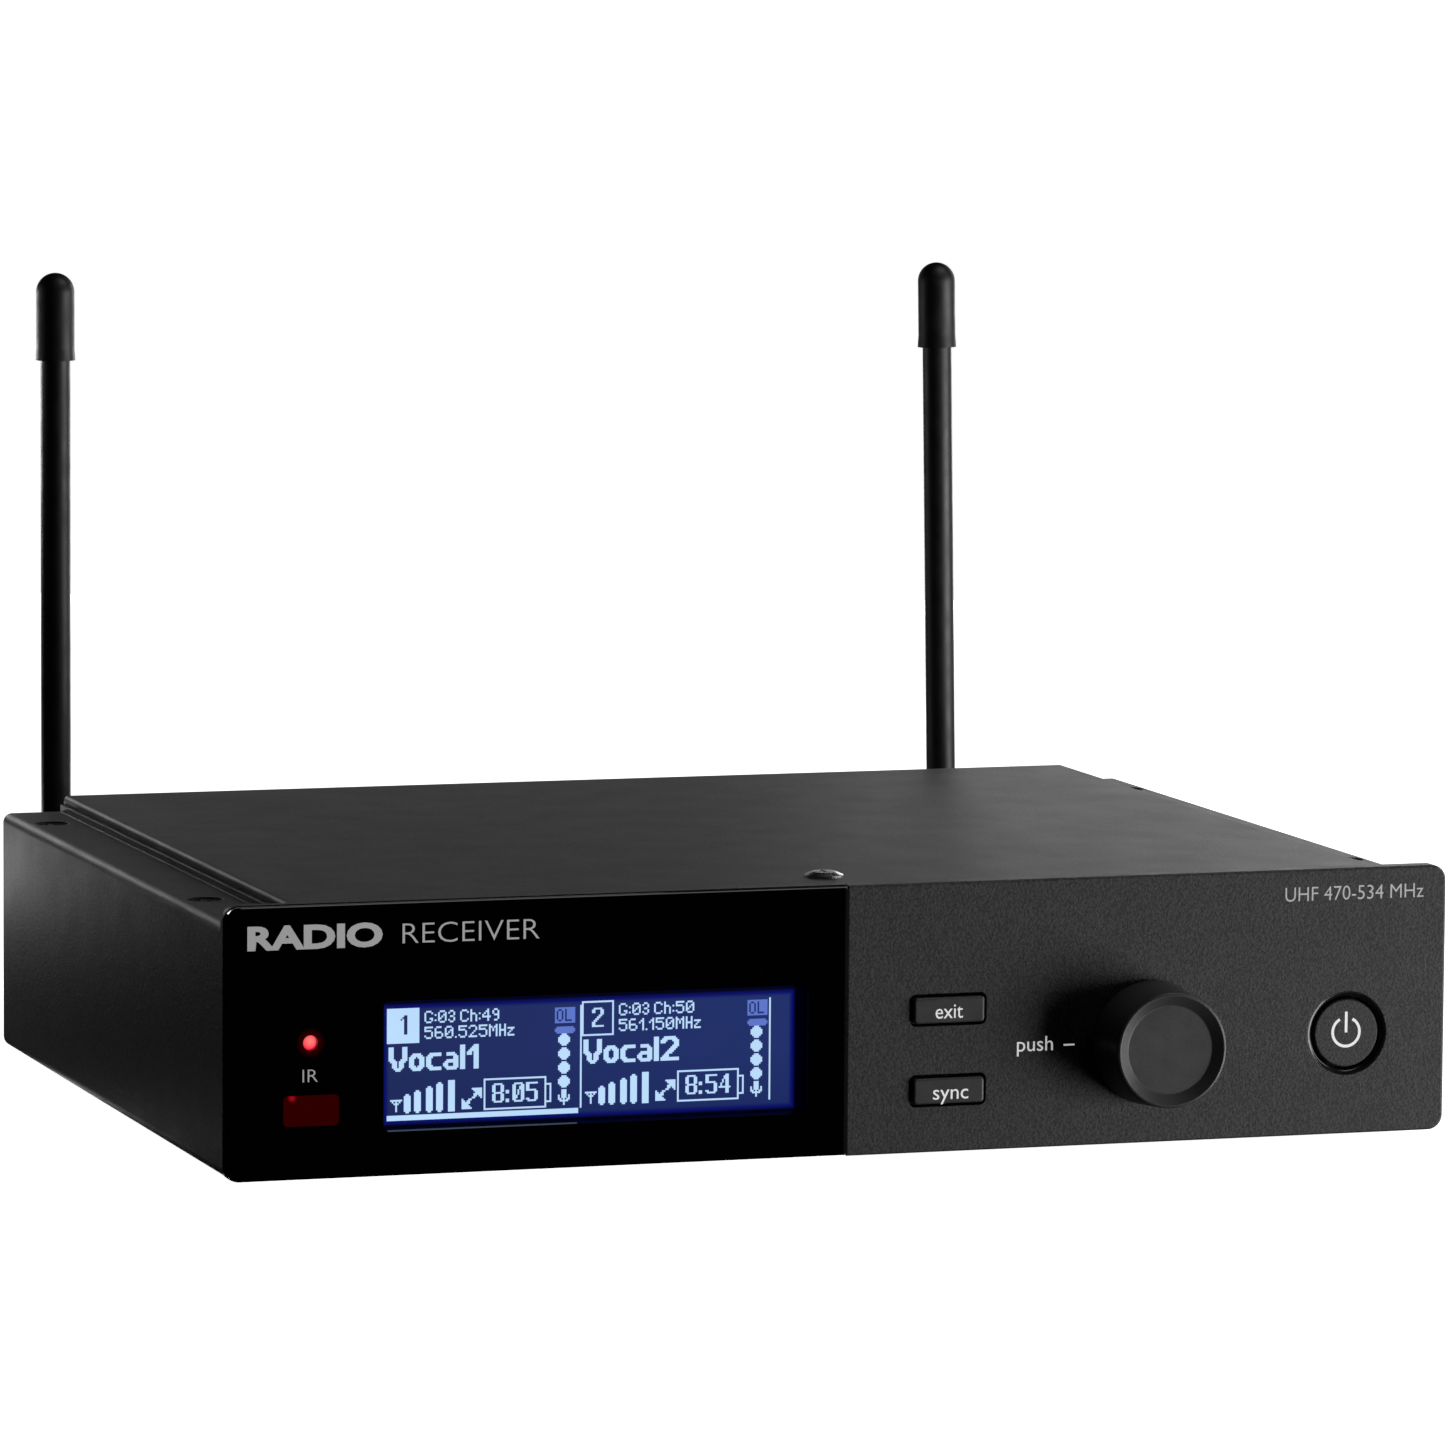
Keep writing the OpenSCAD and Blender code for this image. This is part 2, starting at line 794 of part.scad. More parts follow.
module bnc_nuts() {
    color("silver") for (x = bnc_x) difference() {
        translate([x, body_d + 2.2, bnc_z]) rotate([90, 0, 0])
            cylinder(r = 8.6, h = 2.2, $fn = 6);
        bar_y(thread_r, body_d - 1, body_d + 4, x, bnc_z);
    }
}

// the bayonet ring: two entry slots, the ring's inner track and a grip
module coupling_ring(x) {
    outer = 7.2;
    color("silver") difference() {
        union() {
            bar_y(outer, ring_front, ring_front + 8, x, bnc_z);
            bar_y(outer - 0.7, ring_front, ring_end, x, bnc_z);
            bar_y(outer, ring_end - 3, ring_end, x, bnc_z);
        }
        bar_y(barrel_r + 0.3, ring_front - 1, barrel_end + 0.3, x, bnc_z);
        bar_y(lug_r + 0.3, lug_y - 1.5, lug_y + 1.5, x, bnc_z);
        bar_y(neck_r + run, barrel_end, ring_end + 1, x, bnc_z);
        block([x - 1.4, ring_front - 1, bnc_z - lug_r - 0.3],
              [x + 1.4, lug_y, bnc_z + lug_r + 0.3]);
    }
}

module coupling_ring_left() {
    coupling_ring(bnc_x[0]);
}

module coupling_ring_right() {
    coupling_ring(bnc_x[1]);
}

// the turning half of the antenna connector: neck, ground sleeve and centre pin
module plug_body(x) {
    color("silver") {
        bar_y(neck_r, barrel_end + 0.3, ring_end + 1.5, x, bnc_z);
        difference() {
            bar_y(4.1, 149.6, barrel_end + 0.4, x, bnc_z);
            bar_y(3.2, 149, barrel_end + 0.3, x, bnc_z);
        }
        bar_y(0.65, 148.6, barrel_end + 0.4, x, bnc_z);
    }
}

module plug_body_left() {
    plug_body(bnc_x[0]);
}

module plug_body_right() {
    plug_body(bnc_x[1]);
}

// turns the right antenna's upright pieces about its connector's axis
module leaning() {
    translate([bnc_x[1], 0, bnc_z]) rotate([0, lean_right, 0])
        translate([-bnc_x[1], 0, -bnc_z]) children();
}

// the moulded elbow, bored for the connector's neck and for the rod
module antenna_elbow(x) {
    top = 34.5;
    color([0.05, 0.05, 0.055]) difference() {
        union() {
            bar_y(elbow_r, ring_end + 0.3, rod_y, x, bnc_z);
            translate([x, rod_y, bnc_z]) sphere(r = elbow_r);
            translate([x, rod_y, bnc_z]) cylinder(r = elbow_r, h = 5);
            translate([x, rod_y, bnc_z + 5])
                cylinder(r1 = elbow_r, r2 = 3.5, h = top - bnc_z - 5);
        }
        bar_y(neck_r, ring_end - 1, ring_end + 1.5, x, bnc_z);
        translate([x, rod_y, bnc_z + 3]) cylinder(r = rod_r, h = 20);
    }
}

module antenna_elbow_left() {
    antenna_elbow(bnc_x[0]);
}

module antenna_elbow_right() {
    leaning() antenna_elbow(bnc_x[1]);
}

module antenna_rod(x) {
    color([0.05, 0.05, 0.055]) translate([x, rod_y, bnc_z + 3])
        cylinder(r = rod_r, h = cap_base_z + 9 - bnc_z - 3);
}

module antenna_rod_left() {
    antenna_rod(bnc_x[0]);
}

module antenna_rod_right() {
    leaning() antenna_rod(bnc_x[1]);
}

// the rubber tip: slightly flared at its base and domed
module antenna_cap(x) {
    base_r = 3.35;
    body_r = 3.2;
    dome = tip_z - body_r;
    color([0.06, 0.06, 0.065]) difference() {
        union() {
            translate([x, rod_y, cap_base_z]) cylinder(r1 = base_r, r2 = body_r, h = 2);
            translate([x, rod_y, cap_base_z + 2])
                cylinder(r = body_r, h = dome - cap_base_z - 2);
            translate([x, rod_y, dome]) sphere(r = body_r);
        }
        translate([x, rod_y, cap_base_z - 1]) cylinder(r = rod_r, h = 10);
    }
}

module antenna_cap_left() {
    antenna_cap(bnc_x[0]);
}

module antenna_cap_right() {
    leaning() antenna_cap(bnc_x[1]);
}

place() chassis_tray();
place() top_cover();
place() front_rail();
place() rear_panel();
place() cover_screw();
place() rear_screws();
place() ledge_inserts();
place() rubber_feet();
place() front_bezel();
place() display_lens();
place() lcd_glass();
place() lcd_frame();
place() lcd_backlight();
place() status_led();
place() ir_window();
place() power_ring();
place() ui_pcb();
place() bezel_screws();
place() tact_switches();
place() power_switch();
place() encoder_body();
place() encoder_nut();
place() main_pcb();
place() rf_shield_left();
place() rf_shield_right();
place() main_chip();
place() ribbon_cable();
place() pcb_standoffs();
place() pcb_screws();
place() xlr_shell_1();
place() xlr_shell_2();
place() xlr_pins_1();
place() xlr_pins_2();
place() trs_jack_1();
place() trs_jack_2();
place() trs_nuts();
place() ethernet_jack();
place() dc_inlet();
place() bnc_jack_left();
place() bnc_jack_right();
place() bnc_insulator_left();
place() bnc_insulator_right();
place() bnc_nuts();
place() exit_button();
place() sync_button();
place() power_button();
place() encoder_rotor();
place() encoder_shaft();
place() control_knob();
place() coupling_ring_left();
place() coupling_ring_right();
place() plug_body_left();
place() plug_body_right();
place() antenna_elbow_left();
place() antenna_elbow_right();
place() antenna_rod_left();
place() antenna_rod_right();
place() antenna_cap_left();
place() antenna_cap_right();
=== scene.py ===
import math

import bmesh
import bpy
from mathutils import Matrix, Vector


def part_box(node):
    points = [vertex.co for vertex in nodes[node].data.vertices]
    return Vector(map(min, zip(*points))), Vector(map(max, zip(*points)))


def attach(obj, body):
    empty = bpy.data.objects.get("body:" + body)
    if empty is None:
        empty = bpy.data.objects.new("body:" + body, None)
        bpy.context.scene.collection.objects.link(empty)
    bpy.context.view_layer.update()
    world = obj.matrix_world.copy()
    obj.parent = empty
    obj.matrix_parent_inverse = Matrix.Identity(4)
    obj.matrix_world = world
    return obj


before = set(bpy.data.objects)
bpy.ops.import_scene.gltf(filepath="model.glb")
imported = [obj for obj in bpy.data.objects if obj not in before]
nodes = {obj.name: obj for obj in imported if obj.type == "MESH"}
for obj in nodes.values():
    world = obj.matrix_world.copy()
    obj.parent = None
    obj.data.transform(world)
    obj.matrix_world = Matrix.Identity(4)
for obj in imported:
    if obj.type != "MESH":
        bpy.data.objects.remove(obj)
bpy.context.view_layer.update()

# ---------------------------------------------------------------- places
# Lengths below are in millimetres on the front panel: x from its left end, z up from its lower
# edge and y back from its front face. Each is turned into metres in the part's own frame.
MM = 0.001
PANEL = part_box("front_bezel")[0]


def spot(x, y, z):
    """A point of the part's frame, in metres, from millimetres on the front panel."""
    return PANEL + Vector((x, y, z)) * MM


def middle(node):
    """The middle of a CAD node's box."""
    low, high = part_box(node)
    return (low + high) / 2


def middle_front(node):
    """The middle of the front end of a CAD node's box."""
    low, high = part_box(node)
    return Vector(((low.x + high.x) / 2, low.y, (low.z + high.z) / 2))


def placed(name, data):
    """A new object in the scene that holds data."""
    made = bpy.data.objects.new(name, data)
    bpy.context.scene.collection.objects.link(made)
    return made


def add_piece(name, mesh, body, material):
    """A new piece from a mesh, riding on a body."""
    piece = placed(name, mesh)
    mesh.materials.append(material)
    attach(piece, body)


def finished(bm, name):
    """The mesh that a bmesh has built; the bmesh is freed."""
    mesh = bpy.data.meshes.new(name)
    bm.to_mesh(mesh)
    bm.free()
    return mesh


def prism(bm, near, far):
    """Faces that close the space between two outlines with the same number of corners."""
    bm.faces.new(near)
    bm.faces.new(far[::-1])
    for k in range(len(near)):
        n = (k + 1) % len(near)
        bm.faces.new((near[k], far[k], far[n], near[n]))


# ---------------------------------------------------------------- materials
class Shader:
    """A material with one Principled node, and short calls for the nodes that feed it."""

    def __init__(self, name, rough=0.5, colour=(0.1, 0.1, 0.1), **sockets):
        self.material = bpy.data.materials.new(name)
        self.material.use_nodes = True
        self.tree = self.material.node_tree
        self.face = self.tree.nodes["Principled BSDF"]
        self.set("Base Color", (*colour, 1))
        self.set("Roughness", rough)
        for socket, value in sockets.items():
            self.set(socket.replace("_", " "), value)
        self.where = self.node("ShaderNodeTexCoord").outputs["Object"]

    def node(self, kind, **settings):
        made = self.tree.nodes.new(kind)
        for key, value in settings.items():
            setattr(made, key, value)
        return made

    def link(self, source, target):
        self.tree.links.new(source, target)

    def set(self, socket, value):
        """Gives the Principled node's socket a plain value, or links it."""
        target = self.face.inputs[socket]
        if isinstance(value, bpy.types.NodeSocket):
            self.link(value, target)
        else:
            target.default_value = value

    def math(self, operation, a, b):
        made = self.node("ShaderNodeMath", operation=operation)
        for target, value in zip(made.inputs, (a, b)):
            if isinstance(value, bpy.types.NodeSocket):
                self.link(value, target)
            else:
                target.default_value = value
        return made.outputs[0]

    def noise(self, size, detail=2.0, rough=0.5, stretch=(1, 1, 1)):
        """Noise with features of about that size in millimetres, from 0 to 1."""
        scaled = self.node("ShaderNodeMapping")
        scaled.inputs["Scale"].default_value = stretch
        self.link(self.where, scaled.inputs["Vector"])
        made = self.node("ShaderNodeTexNoise")
        made.inputs["Scale"].default_value = 1 / (size * MM)
        made.inputs["Detail"].default_value = detail
        made.inputs["Roughness"].default_value = rough
        self.link(scaled.outputs[0], made.inputs["Vector"])
        return made.outputs[0]

    def cells(self, size):
        """Distance from the borders of cells of about that size in millimetres."""
        made = self.node("ShaderNodeTexVoronoi", feature="DISTANCE_TO_EDGE")
        made.inputs["Scale"].default_value = 1 / (size * MM)
        self.link(self.where, made.inputs["Vector"])
        return made.outputs["Distance"]

    def span(self, source, low, high, start=0.3, end=0.7):
        """source from start..end laid on low..high, held between them."""
        made = self.node("ShaderNodeMapRange")
        ends = (("From Min", start), ("From Max", end), ("To Min", low), ("To Max", high))
        for key, value in ends:
            made.inputs[key].default_value = value
        self.link(source, made.inputs["Value"])
        return made.outputs[0]

    def blend(self, factor, dark, light):
        """A colour from dark to light as factor goes from 0 to 1."""
        made = self.node("ShaderNodeMix", data_type="RGBA")
        self.link(factor, made.inputs["Factor"])
        for key, value in (("A", dark), ("B", light)):
            target = [s for s in made.inputs if s.name == key and s.type == "RGBA"][0]
            if isinstance(value, bpy.types.NodeSocket):
                self.link(value, target)
            else:
                target.default_value = (*value, 1)
        return [s for s in made.outputs if s.type == "RGBA"][0]

    def soft(self, radius):
        """The surface's direction with its edges rounded over by radius, in millimetres."""
        made = self.node("ShaderNodeBevel", samples=6)
        made.inputs["Radius"].default_value = radius * MM
        return made.outputs[0]

    def bump(self, height, depth, strength=1.0, rounded=0.0):
        """Bump from a height between 0 and 1, that deep in millimetres, on rounded edges."""
        made = self.node("ShaderNodeBump")
        made.inputs["Strength"].default_value = strength
        made.inputs["Distance"].default_value = depth * MM
        self.link(height, made.inputs["Height"])
        if rounded:
            self.link(self.soft(rounded), made.inputs["Normal"])
        self.set("Normal", made.outputs[0])

    def edges(self, radius, start=0.02, end=0.2):
        """From 0 on flat faces to 1 along edges, within radius in millimetres."""
        true = self.node("ShaderNodeNewGeometry")
        along = self.node("ShaderNodeVectorMath", operation="DOT_PRODUCT")
        self.link(self.soft(radius), along.inputs[0])
        self.link(true.outputs["Normal"], along.inputs[1])
        return self.span(self.math("SUBTRACT", 1.0, along.outputs["Value"]), 0, 1, start, end)

    def wear(self, colour, radius, worn, share, patch=2.0):
        """colour, a socket, with a worn colour along the edges where the noise allows it."""
        mask = self.math("MULTIPLY", self.edges(radius), self.span(self.noise(patch, 3), 0.2, 1))
        return self.blend(self.math("MULTIPLY", mask, share), colour, worn)


def powder_coat():
    """Fine-textured black powder coat over folded steel."""
    s = Shader("powder_coat_black", Specular_IOR_Level=0.42)
    grain = s.noise(0.4, 3, 0.65)
    shade = s.blend(s.span(grain, 0, 1, 0.35, 0.65), (0.008, 0.008, 0.009), (0.044, 0.044, 0.045))
    broad = s.blend(s.span(s.noise(40, 2), 0, 0.12), shade, (0.034, 0.034, 0.035))
    s.set("Base Color", s.wear(broad, 0.5, (0.075, 0.075, 0.078), 0.5))
    s.set("Roughness", s.span(s.noise(9, 3), 0.52, 0.57))
    s.bump(s.math("ADD", grain, s.math("MULTIPLY", s.noise(1.1, 1), 0.5)), 0.06, 0.9, 0.3)
    return s.material


def bezel_matte():
    """Charcoal moulding with a fine spark-eroded grain."""
    s = Shader("bezel_charcoal", Specular_IOR_Level=0.4)
    grain = s.noise(0.42, 2, 0.6)
    shade = s.blend(s.span(grain, 0, 1, 0.35, 0.65), (0.014, 0.014, 0.015), (0.05, 0.05, 0.051))
    s.set("Base Color", s.wear(shade, 0.35, (0.09, 0.09, 0.093), 0.45))
    s.set("Roughness", s.span(s.noise(6, 3), 0.5, 0.58))
    s.bump(grain, 0.06, 1.0, 0.2)
    return s.material


def lens_black():
    """Polished black front window with faint wipe marks, and a painted red glow around the status
    LED.
    """
    s = Shader("lens_piano_black", Specular_IOR_Level=0.4)
    smear = s.noise(14, 4, 0.55, (1, 1, 2.5))
    s.set("Roughness", s.span(smear, 0.05, 0.11))
    dust = s.math("GREATER_THAN", s.noise(0.35, 0), 0.79)
    s.set("Base Color", s.blend(dust, (0.0007, 0.0007, 0.0008), (0.004, 0.004, 0.004)))
    s.bump(s.noise(30, 1), 0.01, 0.25)
    # painted light: a faint red glow painted on the window around the status LED
    glow_from(s, middle_front("status_led"), 2.3, (0.05, 0.0, 0.0004), (0.0, 0.0, 0.0), 1.0)
    return s.material


def control_black():
    """Satin black plastic of the knob and the keys."""
    s = Shader("control_satin_black", Specular_IOR_Level=0.5)
    grain = s.noise(0.22, 2)
    shade = s.blend(s.span(grain, 0, 1), (0.038, 0.038, 0.039), (0.052, 0.052, 0.053))
    s.set("Base Color", s.wear(shade, 0.3, (0.09, 0.09, 0.093), 0.5, 1.5))
    s.set("Roughness", s.span(s.noise(3, 3), 0.36, 0.46))
    s.bump(grain, 0.008, 0.35, 0.25)
    return s.material


def recess_gloss():
    """Polished cone around the power button."""
    s = Shader("recess_gloss_black", colour=(0.006, 0.006, 0.007))
    s.set("Roughness", s.span(s.noise(2.5, 3), 0.14, 0.24))
    s.set("Base Color", s.wear(s.blend(s.noise(1.2, 2), (0.005, 0.005, 0.006),
                                       (0.009, 0.009, 0.01)), 0.15, (0.05, 0.05, 0.05), 0.3))
    return s.material


def antenna_black():
    """Moulded rubber sleeve of the antennas."""
    s = Shader("antenna_rubber", Specular_IOR_Level=0.45)
    grain = s.noise(0.3, 3, 0.6)
    shade = s.blend(s.span(grain, 0, 1), (0.0022, 0.0022, 0.0024), (0.0045, 0.0045, 0.0047))
    dusty = s.blend(s.span(s.noise(8, 4), 0, 0.2), shade, (0.011, 0.011, 0.011))
    s.set("Base Color", s.wear(dusty, 0.4, (0.03, 0.03, 0.03), 0.4))
    s.set("Roughness", s.span(s.noise(4, 3), 0.42, 0.56))
    s.bump(s.math("ADD", grain, s.noise(2.2, 2)), 0.02, 0.4)
    return s.material


def foot_rubber():
    """Soft rubber feet with a matt, dusty skin."""
    s = Shader("foot_rubber_black", Specular_IOR_Level=0.3)
    grain = s.noise(0.4, 4, 0.65)
    s.set("Base Color", s.blend(grain, (0.008, 0.008, 0.008), (0.03, 0.03, 0.029)))
    s.set("Roughness", s.span(grain, 0.75, 0.95))
    s.bump(grain, 0.04, 0.6)
    return s.material


def metal(name, colour, dark, rough, brushed=(1, 1, 1), size=0.5):
    """A plated metal with fine scratches and duller patches."""
    s = Shader(name, Metallic=1.0)
    lines = s.noise(size, 3, 0.6, brushed)
    s.set("Base Color", s.wear(s.blend(s.span(s.noise(5, 4), 0, 1), dark, colour), 0.25,
                               tuple(min(1, c * 1.25) for c in colour), 0.6))
    s.set("Roughness", s.span(lines, rough * 0.75, rough * 1.35))
    s.bump(lines, 0.004, 0.3)
    return s.material


def zinc_steel():
    return metal("zinc_plate", (0.72, 0.73, 0.74), (0.55, 0.56, 0.58), 0.26, (1, 8, 1))


def dark_steel():
    return metal("black_oxide_steel", (0.032, 0.032, 0.034), (0.012, 0.012, 0.013), 0.26)


def nickel():
    return metal("nickel_plate", (0.66, 0.63, 0.58), (0.5, 0.48, 0.45), 0.18, (1, 6, 1))


def gold_contact():
    return metal("gold_plate", (0.86, 0.6, 0.22), (0.7, 0.46, 0.16), 0.2)


def connector_black():
    """Glass-filled nylon of the sockets and the switch housings."""
    s = Shader("connector_nylon", Specular_IOR_Level=0.45)
    grain = s.noise(0.5, 4, 0.65)
    s.set("Base Color", s.wear(s.blend(grain, (0.008, 0.008, 0.009), (0.024, 0.024, 0.025)),
                               0.3, (0.06, 0.06, 0.06), 0.4))
    s.set("Roughness", s.span(grain, 0.38, 0.6))
    s.bump(grain, 0.02, 0.4)
    return s.material


def insulator_white():
    """Waxy white fluoropolymer."""
    s = Shader("insulator_ptfe", Subsurface_Weight=0.2, Subsurface_Scale=0.5 * MM)
    grain = s.noise(0.8, 3)
    s.set("Base Color", s.blend(grain, (0.72, 0.71, 0.67), (0.84, 0.83, 0.79)))
    s.set("Roughness", s.span(grain, 0.4, 0.55))
    s.bump(grain, 0.01, 0.3)
    return s.material


def board_green():
    """Solder mask over copper, with the weave just showing."""
    s = Shader("board_solder_mask")
    along, across = (s.noise(0.8, 1, stretch=way) for way in ((1, 6, 1), (6, 1, 1)))
    weave = s.math("MULTIPLY", along, across)
    tracks = s.math("GREATER_THAN", s.cells(2.4), 0.07)
    mask = s.blend(tracks, (0.02, 0.1, 0.045), (0.008, 0.055, 0.022))
    s.set("Base Color", s.blend(s.span(weave, 0, 0.5, 0.1, 0.5), mask, (0.012, 0.07, 0.03)))
    s.set("Roughness", s.span(weave, 0.25, 0.4, 0.1, 0.5))
    s.bump(tracks, 0.03, 0.4)
    return s.material


CABLE_RIBS = 320  # the wave texture's scale, for ribs about a millimetre apart


def cable_white():
    """Flat cable, ribbed along its conductors."""
    s = Shader("flat_cable_white")
    ribs = s.node("ShaderNodeTexWave", bands_direction="X")
    ribs.inputs["Scale"].default_value = CABLE_RIBS
    s.link(s.where, ribs.inputs["Vector"])
    s.set("Base Color", s.blend(ribs.outputs["Fac"], (0.5, 0.5, 0.48), (0.72, 0.72, 0.7)))
    s.set("Roughness", s.span(s.noise(2, 3), 0.35, 0.5))
    s.bump(ribs.outputs["Fac"], 0.1, 0.5)
    return s.material


def display_light():
    """White light guide behind the display."""
    s = Shader("light_guide")
    s.set("Base Color", s.blend(s.noise(1.5, 2), (0.66, 0.7, 0.82), (0.78, 0.82, 0.92)))
    s.set("Roughness", s.span(s.noise(1, 2), 0.3, 0.45))
    return s.material


def glow_from(s, place, reach, inner, outer, strength):
    """Light that falls off from a point over reach, in millimetres."""
    away = s.node("ShaderNodeVectorMath", operation="DISTANCE")
    s.link(s.where, away.inputs[0])
    away.inputs[1].default_value = place
    near = s.span(away.outputs["Value"], 0, 1, 0, reach * MM)
    s.set("Emission Color", s.blend(near, inner, outer))
    s.set("Emission Strength", strength)


def led_red():
    """Lit red lens, hottest in its middle."""
    s = Shader("led_red_lit", rough=0.2)
    hot = middle_front("status_led") + Vector((0, 0, 0.35 * MM))
    s.set("Base Color", s.blend(s.noise(0.6, 2), (0.3, 0.003, 0.002), (0.5, 0.008, 0.005)))
    glow_from(s, hot, 1.5, (1.0, 0.24, 0.22), (0.85, 0.012, 0.05), 1.0)
    return s.material


def ir_red():
    """Dark red infrared filter, with a painted faint red glow over it and a painted glint near its
    upper left corner.
    """
    s = Shader("ir_filter_red", Specular_IOR_Level=0.2)
    s.set("Base Color", s.blend(s.noise(1.4, 2), (0.008, 0.0, 0.0), (0.014, 0.0, 0.0)))
    s.set("Roughness", s.span(s.noise(2, 3), 0.1, 0.2))
    # painted light: the filter glows faint red all over, brighter at a painted glint near its
    # upper left corner
    low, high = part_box("ir_window")
    painted_glint = Vector((low.x + 1.3 * MM, low.y, high.z - 0.25 * MM))
    glow_from(s, painted_glint, 0.75, (0.4, 0.003, 0.01), (0.024, 0.0, 0.0), 1.0)
    return s.material


def ink(name, colour, glow):
    """Pad-printed lettering, with a painted glow of its own so that it reads as brightly lit."""
    s = Shader(name, Specular_IOR_Level=0.3)
    grain = s.noise(0.25, 2)
    s.set("Base Color", s.blend(grain, tuple(c * 0.85 for c in colour), colour))
    # painted light: the print glows a little though it is no lamp
    s.set("Emission Color", (*colour, 1))
    s.set("Emission Strength", glow)
    s.set("Roughness", s.span(grain, 0.5, 0.65))
    return s.material


# ---------------------------------------------------------------- display
# The display is a dot matrix. Cells are counted from its upper left corner.
DOTS_X, DOTS_Z = 240, 64
DOT = 0.267  # distance between cells, in millimetres
DOTS_LEFT, DOTS_TOP = 25.55, 25.35  # where the first cell's corner is on the panel
PANE = 115  # columns from the left half to the right half
BOX_RIGHT, BOX_LOW = 18, 19  # the box around the receiver's number
BAR_LOW, BAR_TOPS, BAR_LEFTS = 59, (49, 47, 45, 43, 42), (10, 16, 23, 29, 36)
METER_LEFT = 101  # the column of dots under the overload badge

GLYPHS = {
    "0": ".###. #...# #..## #.#.# ##..# #...# .###.",
    "1": "..# .## #.# ..# ..# ..# ..#",
    "2": ".###. #...# ....# ...#. ..#.. .#... #####",
    "3": ".##. #..# ...# .##. ...# #..# .##.",
    "4": "...#. ..##. .#.#. #..#. ##### ...#. ...#.",
    "5": "##### #.... ####. ....# ....# #...# .###.",
    "6": ".###. #.... #.... ####. #...# #...# .###.",
    "9": ".##. #..# #..# .### ...# ...# .##.",
    "G": ".###. #...# #.... #.... #..## #...# .###.",
    "C": ".###. #...# #.... #.... #.... #...# .###.",
    "M": "#...# ##.## #.#.# #.#.# #...# #...# #...#",
    "H": "#..# #..# #..# #### #..# #..# #..#",
    "L": "#... #... #... #... #... #... ####",
    "O": ".##. #..# #..# #..# #..# #..# .##.",
    "V": "#...# #...# #...# #...# .#.#. .#.#. ..#..",
    "a": ".... .... .##. ...# .### #..# .###",
    "c": ".... .... .### #... #... #... .###",
    "h": "#... #... ###. #..# #..# #..# #..#",
    "l": "# # # # # # #",
    "o": ".... .... .##. #..# #..# #..# .##.",
    "z": ".... .... #### ..#. .#.. #... ####",
    ":": ". . # . . # .",
    ".": ". . . . . . #",
    " ": ". . . . . . .",
}
BIG_DIGITS = {
    "0": ".#####. ##...## ##..### ##..### ##.#.## ##.#.## ##.#.## ###..## ###..## ##...## .#####.",
    "1": "..## .### #.## ..## ..## ..## ..## ..## ..## ..## ..##",
    "2": ".#####. ##...## ##...## .....## ....##. ...##.. ..##... .##.... ##..... ##..... #######",
    "4": "....##. ...###. ...###. ..#.##. ..#.##. .#..##. .#..##. ####### ....##. ....##. ....##.",
    "5": "####### ##..... ##..... ##..... ######. .....## .....## .....## .....## ##...## .#####.",
    "8": ".#####. ##...## ##...## ##...## ##...## .#####. ##...## ##...## ##...## ##...## .#####.",
    ":": "... ... ... ... ##. ##. ... ... ... ##. ##.",
}
AERIAL = "####### .#.#.#. ..###.. ...#... ...#... ...#... ...#..."
MICROPHONE = "..###.. ..###.. ..###.. #.###.# #.###.# ##.#.## .#####. ...#... ...#..."


def stamp(rows, col, row):
    """The lit cells of a picture written as rows of . and #."""
    return {
        (col + i, row + j)
        for j, line in enumerate(rows.split())
        for i, mark in enumerate(line)
        if mark == "#"
    }


def words(text, glyphs=GLYPHS, gap=1):
    """The lit cells of a line of text that starts at the corner, and its width."""
    cells, col = set(), 0
    for letter in text:
        cells |= stamp(glyphs[letter], col, 0)
        col += len(glyphs[letter].split()[0]) + gap
    return cells, col - gap


def doubled(cells):
    """The same picture twice as large, with its steps rounded off."""
    grown = set()
    around = {(c + i, r + j) for c, r in cells for i in (-1, 0, 1) for j in (-1, 0, 1)}
    for c, r in around:
        up, down = (c, r - 1) in cells, (c, r + 1) in cells
        left, right = (c - 1, r) in cells, (c + 1, r) in cells
        on = (c, r) in cells
        quarters = (
            (0, 0, left, up, right, down),
            (1, 0, right, up, left, down),
            (0, 1, left, down, right, up),
            (1, 1, right, down, left, up),
        )
        for i, j, side, end, other_side, other_end in quarters:
            corner = side == end and side != other_side and end != other_end
            if side if corner else on:
                grown.add((2 * c + i, 2 * r + j))
    return grown


def bolder(cells):
    """The same picture with each stroke one cell wider to the right."""
    return cells | {(c + 1, r) for c, r in cells}


def moved(cells, col, row):
    return {(c + col, r + row) for c, r in cells}


def area(left, top, right, bottom):
    """Every cell of a rectangle, ends included."""
    return {(c, r) for c in range(left, right + 1) for r in range(top, bottom + 1)}


def outline(left, top, right, bottom):
    return area(left, top, right, bottom) - area(left + 1, top + 1, right - 1, bottom - 1)


def disc(col, row, size):
    """A filled round of that many cells across, with its corner at col, row."""
    half = (size - 1) / 2
    return {
        (col + i, row + j)
        for i in range(size)
        for j in range(size)
        if math.hypot(i - half, j - half) <= half + 0.35
    }


def strength_bars():
    """Five signal bars that grow to the right; all but the last have round tops."""
    cells = set()
    for left, top in zip(BAR_LEFTS, BAR_TOPS):
        bar = area(left, top, left + 3, BAR_LOW)
        if left != BAR_LEFTS[-1]:
            bar -= {(c, r) for c in (left, left + 3) for r in (top, BAR_LOW)}
        cells |= bar
    return cells


def link_arrow(col, row, size):
    """A double arrow from the lower left to the upper right."""
    last = size - 1
    cells = set()
    for c in range(size):
        for r in range(size):
            rise = last - r
            heads = c + rise <= 5 or (last - c) + r <= 5
            waist = abs(2 * c - last) <= 1
            if heads or abs(c - rise) <= (0 if waist else 1):
                cells.add((col + c, row + r))
    return cells


def battery(charge):
    """A battery outline with the hours left in it."""
    inside = moved(words(charge, BIG_DIGITS)[0], 62, 45)
    return outline(57, 42, 93, 59) | outline(93, 46, 96, 56) | inside


